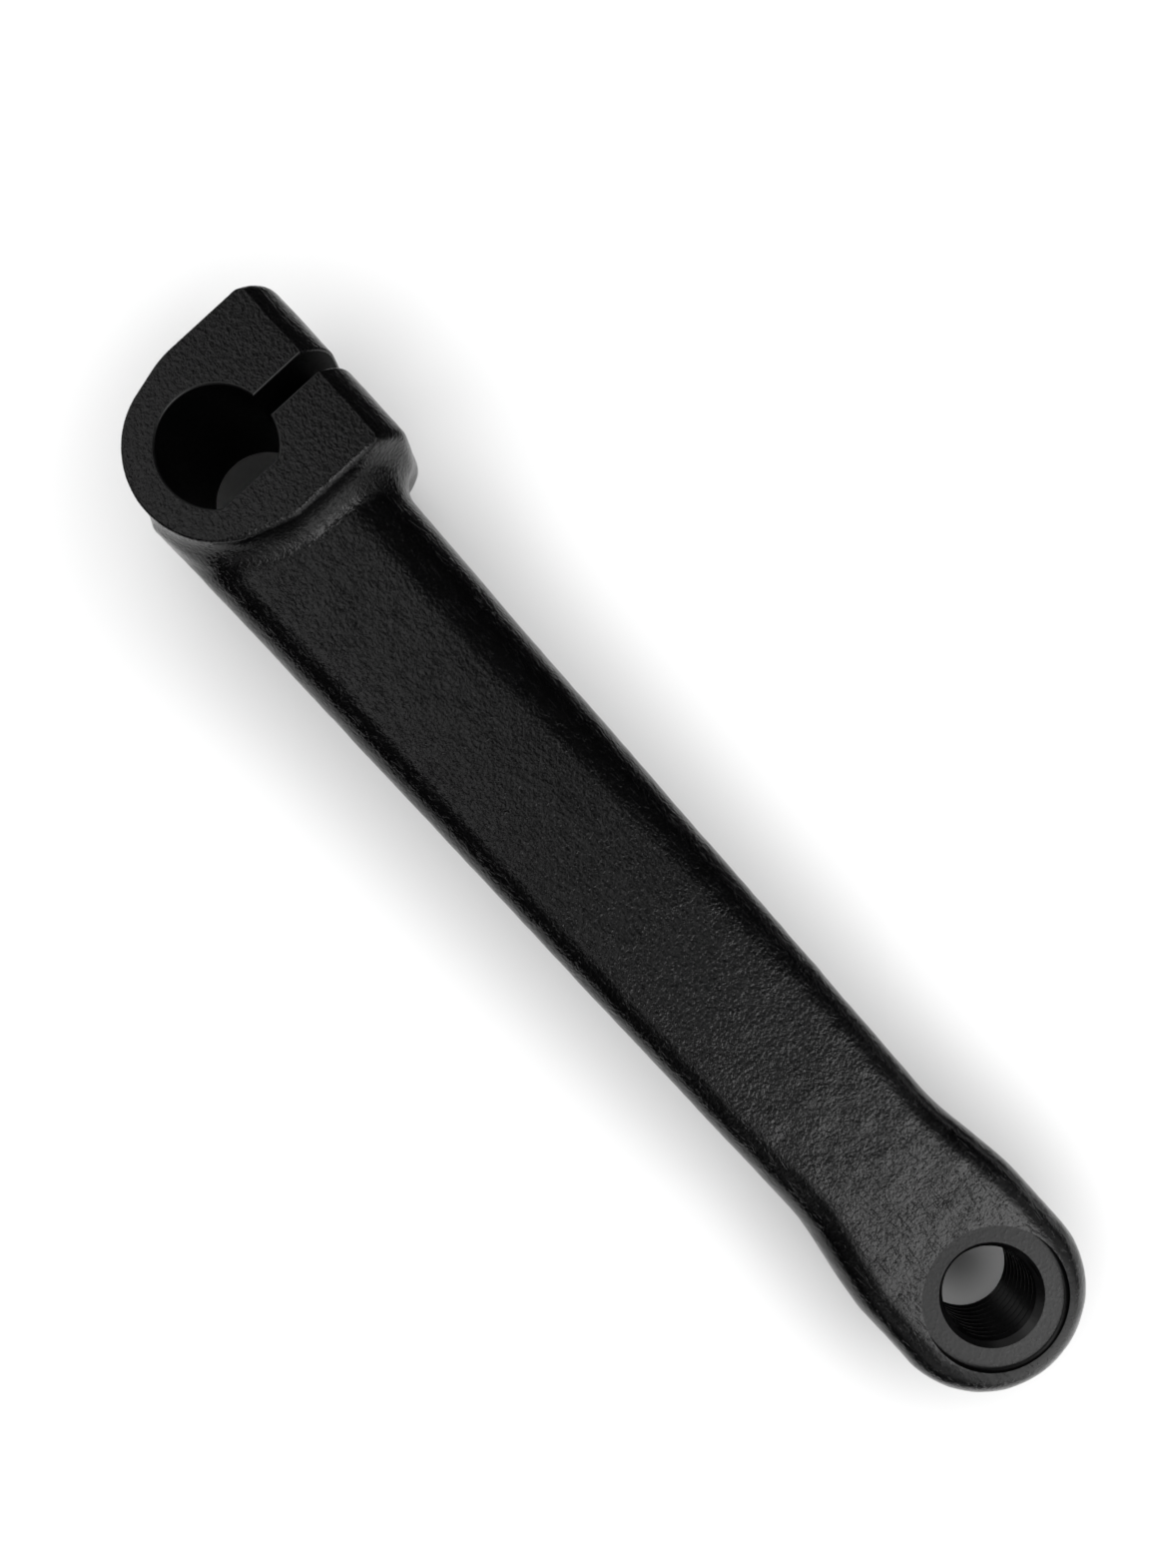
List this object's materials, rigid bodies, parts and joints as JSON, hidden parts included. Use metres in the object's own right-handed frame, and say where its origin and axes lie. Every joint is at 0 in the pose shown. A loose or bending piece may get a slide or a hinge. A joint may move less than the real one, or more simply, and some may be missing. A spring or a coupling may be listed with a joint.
{
  "type": "crank arm",
  "caption": "Straight tapering crank arm with a split, flat-sided spindle clamp and its pinch bolt at one end and a threaded pedal eye at the other.",
  "frame": {"origin": "centre of the D-shaped spindle bore on the clamp's inner face", "axes": "+X along the lever from the spindle to the pedal eye, +Y towards the clamp's slot, +Z along the spindle towards the outer face"},
  "size_m": [0.187, 0.0352, 0.027],
  "materials": {
    "black_coat": "satin black coat over a rough cast skin, smoother on the machined faces",
    "washer_steel": "black zinc",
    "bolt_steel": "black oxide"
  },
  "bodies": {
    "arm": {"crank_arm": "black_coat"},
    "washer": {"bolt_washer": "washer_steel"},
    "bolt": {"pinch_bolt": "bolt_steel"}
  },
  "joints": [
    {"name": "bolt_travel", "type": "slide", "parent": "arm", "child": "washer", "axis": [-1, 0, 0], "range_m": [0, 0.007]},
    {"name": "bolt_turn", "type": "hinge", "parent": "washer", "child": "bolt", "pos_m": [-0.0112, 0.0138, 0.0135], "axis": [-1, 0, 0], "range_deg": [0, 2520]}
  ],
  "couplings": [
    {"joint": "bolt_turn", "follows": "bolt_travel", "rad_per_m": 6283.2}
  ]
}
